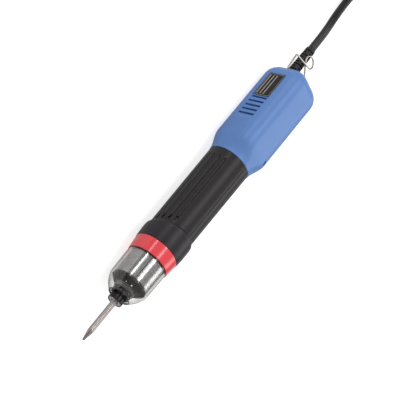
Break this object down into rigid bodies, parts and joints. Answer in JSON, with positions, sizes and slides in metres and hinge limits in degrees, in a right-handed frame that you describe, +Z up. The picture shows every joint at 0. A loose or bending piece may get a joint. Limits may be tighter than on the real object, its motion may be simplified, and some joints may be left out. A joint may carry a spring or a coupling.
{
  "type": "electric torque screwdriver",
  "caption": "Straight electric torque screwdriver with push start, clear cover over the torque nut, fluted grip, vented square housing, hanging bail and cord",
  "frame": {"origin": "centre of the rear housing's flat underside, on the surface that the tool lies on", "axes": "+X along the tool axis towards the bit, +Z up, name plate facing -Y"},
  "size_m": [0.6332, 0.0557, 0.0404],
  "materials": {
    "blue_shell": "satin moulded ABS",
    "plate_black": "printed aluminium plate",
    "black_screw": "black oxide",
    "grip_black": "fine textured plastic",
    "collar_black": "satin plastic",
    "ring_red": "satin red plastic",
    "clear_plastic": "clear polycarbonate",
    "cast_aluminium": "machined casting",
    "bronze": "sintered bronze",
    "nut_black": "black anodised",
    "polished_steel": "polished",
    "spring_steel": "drawn wire",
    "gear_steel": "machined",
    "sleeve_black": "black oxide",
    "bit_steel": "ground steel",
    "motor_can": "zinc plated",
    "copper_wire": "enamelled copper",
    "magnet": "ground magnet",
    "switch_black": "moulded",
    "board_green": "solder mask",
    "board_parts": "component bodies",
    "rubber_black": "soft rubber",
    "wire_steel": "bright wire",
    "cord_black": "glossy PVC",
    "connector_metal": "nickel plated",
    "brass_pins": "gold flashed"
  },
  "bodies": {
    "root": {"rear_housing": "blue_shell", "name_plate": "plate_black", "housing_screw": "black_screw", "grip_shell_left": "grip_black", "grip_shell_right": "grip_black", "front_collar": "collar_black", "nose_housing": "cast_aluminium", "nose_bush": "bronze", "output_bearing": "bronze", "torque_spring": "spring_steel", "pressure_plate": "polished_steel", "thrust_pins": "polished_steel", "clutch_balls": "polished_steel", "ring_gear": "gear_steel", "motor_can": "motor_can", "motor_front_cap": "cast_aluminium", "motor_rear_cap": "cast_aluminium", "motor_bearings": "polished_steel", "stator_core": "gear_steel", "motor_windings": "copper_wire", "start_switch": "switch_black", "switch_bracket": "spring_steel", "circuit_board": "board_green", "board_screws": "polished_steel", "board_parts": "board_parts", "direction_switch": "switch_black", "strain_relief": "rubber_black", "cord_lead": "cord_black", "cord_hank": "cord_black", "cord_tie": "rubber_black", "cord_tail": "cord_black", "connector_boot": "rubber_black", "connector_shell": "connector_metal", "connector_pins": "brass_pins"},
    "rotor": {"rotor_shaft": "polished_steel", "rotor_magnet": "magnet", "sun_gear": "gear_steel"},
    "output": {"planet_carrier": "gear_steel", "drive_shaft": "gear_steel"},
    "planet_1": {"planet_gear_1": "gear_steel"},
    "planet_2": {"planet_gear_2": "gear_steel"},
    "planet_3": {"planet_gear_3": "gear_steel"},
    "holder": {"bit_holder": "gear_steel", "bit": "bit_steel", "retaining_balls": "polished_steel", "holder_clip": "spring_steel", "push_rod": "polished_steel", "push_spring": "spring_steel", "sleeve_spring": "spring_steel"},
    "sleeve": {"bit_sleeve": "sleeve_black"},
    "cup": {"spring_cup": "polished_steel"},
    "nut": {"torque_nut": "nut_black"},
    "cover": {"clear_cover": "clear_plastic"},
    "ring": {"lock_ring": "ring_red"},
    "plunger": {"switch_plunger": "switch_black"},
    "knob": {"direction_knob": "switch_black"},
    "bail": {"suspension_bail": "wire_steel"},
    "plug_ring": {"connector_ring": "connector_metal"}
  },
  "joints": [
    {"name": "motor_spin", "type": "hinge", "parent": "root", "child": "rotor", "pos_m": [0.08, 0, 0.0202], "axis": [1, 0, 0], "continuous": true},
    {"name": "output_spin", "type": "hinge", "parent": "root", "child": "output", "pos_m": [0.15, 0, 0.0202], "axis": [1, 0, 0], "continuous": true},
    {"name": "planet_1_spin", "type": "hinge", "parent": "output", "child": "planet_1", "pos_m": [0.1164, 0, 0.0277], "axis": [1, 0, 0], "continuous": true},
    {"name": "planet_2_spin", "type": "hinge", "parent": "output", "child": "planet_2", "pos_m": [0.1164, -0.0065, 0.01645], "axis": [1, 0, 0], "continuous": true},
    {"name": "planet_3_spin", "type": "hinge", "parent": "output", "child": "planet_3", "pos_m": [0.1164, 0.0065, 0.01645], "axis": [1, 0, 0], "continuous": true},
    {"name": "push_start", "type": "slide", "parent": "output", "child": "holder", "axis": [-1, 0, 0], "range_m": [0, 0.0015], "stiffness_N_per_m": 2000, "springref_m": -0.001, "deforming": ["push_spring"]},
    {"name": "sleeve_slide", "type": "slide", "parent": "holder", "child": "sleeve", "axis": [1, 0, 0], "range_m": [0, 0.0025], "stiffness_N_per_m": 1500, "springref_m": -0.001, "deforming": ["sleeve_spring"]},
    {"name": "switch_press", "type": "slide", "parent": "root", "child": "plunger", "axis": [-1, 0, 0], "range_m": [0, 0.0015]},
    {"name": "nut_advance", "type": "slide", "parent": "root", "child": "cup", "axis": [-1, 0, 0], "range_m": [0, 0.004], "deforming": ["torque_spring"]},
    {"name": "nut_turn", "type": "hinge", "parent": "cup", "child": "nut", "pos_m": [0.188, 0, 0.0202], "axis": [-1, 0, 0], "range_deg": [0, 1440]},
    {"name": "cover_slide", "type": "slide", "parent": "root", "child": "cover", "axis": [1, 0, 0], "range_m": [0, 0.1]},
    {"name": "ring_turn", "type": "hinge", "parent": "cover", "child": "ring", "pos_m": [0.157, 0, 0.0202], "axis": [1, 0, 0], "range_deg": [0, 720]},
    {"name": "direction_slide", "type": "slide", "parent": "root", "child": "knob", "axis": [1, 0, 0], "range_m": [-0.0025, 0.0025]},
    {"name": "bail_swing", "type": "hinge", "parent": "root", "child": "bail", "pos_m": [-0.043, 0, 0.021], "axis": [0, 1, 0], "range_deg": [0, 55]},
    {"name": "plug_ring_turn", "type": "hinge", "parent": "root", "child": "plug_ring", "pos_m": [-0.126, -0.0246, 0.0086], "axis": [1, 0, 0], "range_deg": [0, 120]}
  ],
  "couplings": [
    {"joint": "output_spin", "follows": "motor_spin", "ratio": 0.25},
    {"joint": "planet_1_spin", "follows": "motor_spin", "ratio": -0.75},
    {"joint": "planet_2_spin", "follows": "motor_spin", "ratio": -0.75},
    {"joint": "planet_3_spin", "follows": "motor_spin", "ratio": -0.75},
    {"joint": "switch_press", "follows": "push_start", "ratio": 1},
    {"joint": "nut_turn", "follows": "nut_advance", "rad_per_m": 6282.6}
  ]
}
